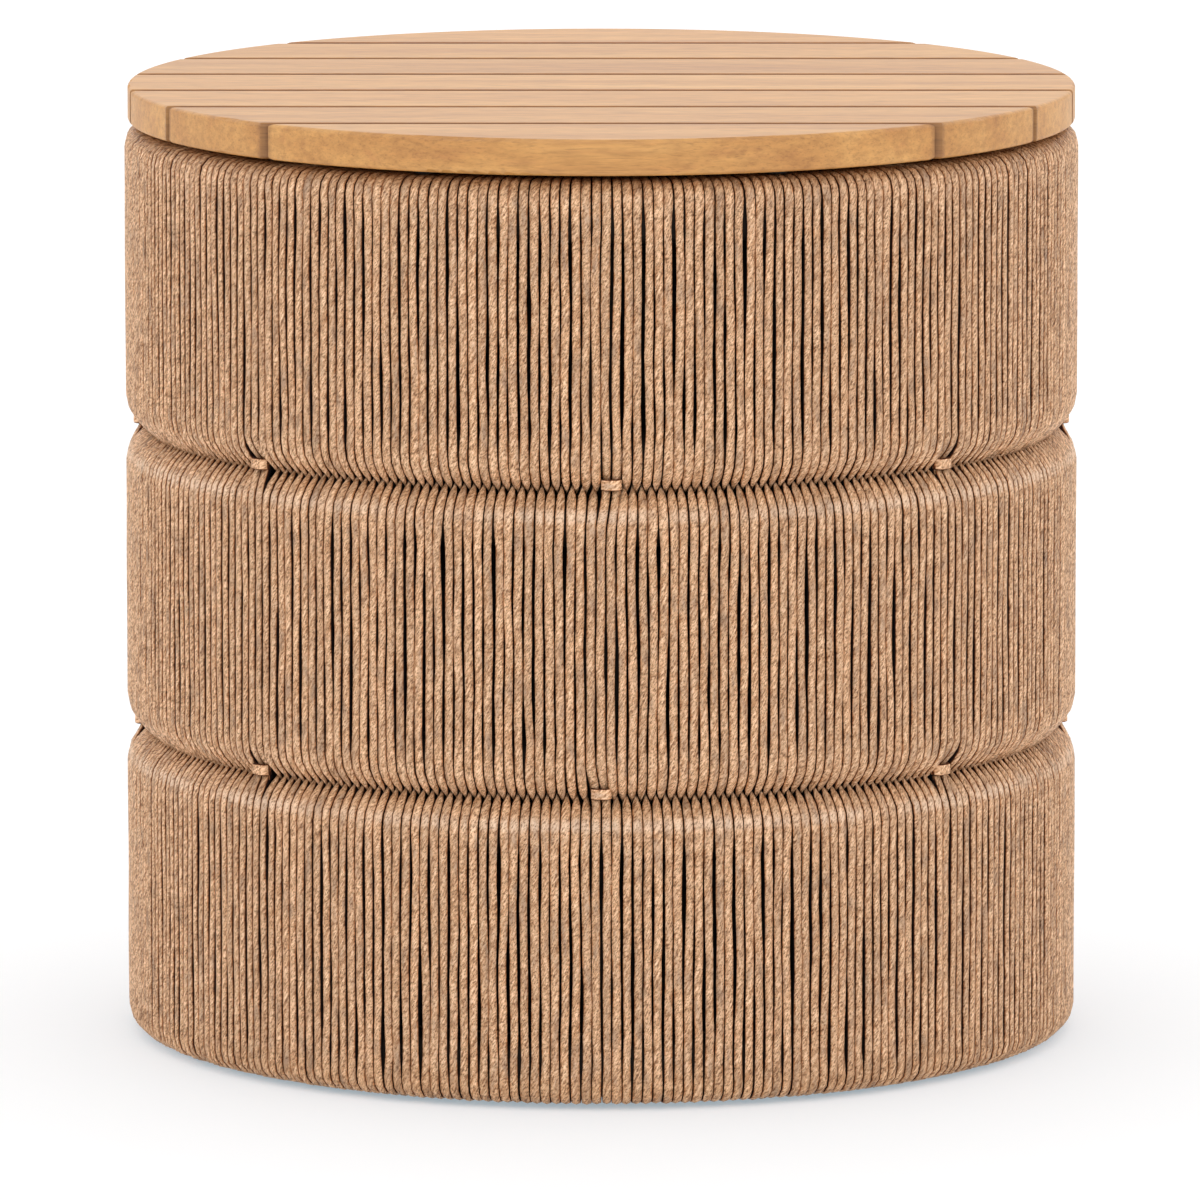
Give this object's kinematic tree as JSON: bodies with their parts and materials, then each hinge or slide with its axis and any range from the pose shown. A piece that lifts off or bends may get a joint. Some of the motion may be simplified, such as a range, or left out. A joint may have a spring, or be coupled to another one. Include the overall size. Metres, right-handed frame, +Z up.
{
  "type": "storage side table",
  "caption": "Round storage side table: a cord-wound drum in waisted tiers over a hidden metal frame, with a lift-off slatted wooden lid.",
  "frame": {"origin": "centre of the footprint, on the floor", "axes": "+Z up; the front faces -Y; the lid's slats run along X"},
  "size_m": [0.508, 0.508, 0.508],
  "materials": {
    "lid_wood": "oiled light hardwood",
    "cleat_wood": "bare hardwood",
    "screw_steel": "stainless",
    "bumper_rubber": "matte black",
    "wound_cord": "twisted resin cord",
    "lining_cord": "twisted resin cord, dark brown",
    "tie_cord": "twisted resin cord",
    "frame_metal": "dark brown powder coat",
    "floor_board": "fine texture",
    "glide_plastic": "smooth"
  },
  "bodies": {
    "base": {"floor_screws": "screw_steel", "wicker_upper_tier": "wound_cord", "wicker_middle_tier": "wound_cord", "wicker_lower_tier": "wound_cord", "wicker_lining": "lining_cord", "waist_ties_upper": "tie_cord", "waist_ties_lower": "tie_cord", "frame_rim_ring": "frame_metal", "frame_hoop_1": "frame_metal", "frame_hoop_2": "frame_metal", "frame_hoop_3": "frame_metal", "frame_hoop_4": "frame_metal", "frame_waist_ring_upper": "frame_metal", "frame_waist_ring_lower": "frame_metal", "frame_base_ring": "frame_metal", "frame_upright_1": "frame_metal", "frame_upright_2": "frame_metal", "frame_upright_3": "frame_metal", "frame_upright_4": "frame_metal", "frame_upright_5": "frame_metal", "frame_upright_6": "frame_metal", "frame_upright_7": "frame_metal", "frame_upright_8": "frame_metal", "base_bar_long": "frame_metal", "base_bar_front": "frame_metal", "base_bar_back": "frame_metal", "floor_panel": "floor_board", "foot_glides": "glide_plastic"},
    "lid": {"lid_slat_1": "lid_wood", "lid_slat_2": "lid_wood", "lid_slat_3": "lid_wood", "lid_slat_4": "lid_wood", "lid_slat_5": "lid_wood", "lid_slat_6": "lid_wood", "lid_slat_7": "lid_wood", "lid_cleat_left": "cleat_wood", "lid_cleat_centre": "cleat_wood", "lid_cleat_right": "cleat_wood", "lid_screws": "screw_steel", "lid_bumpers": "bumper_rubber"}
  },
  "joints": [
    {"name": "lid_lift", "type": "slide", "parent": "base", "child": "lid", "axis": [0, 0, 1], "range_m": [0, 0.35]}
  ]
}
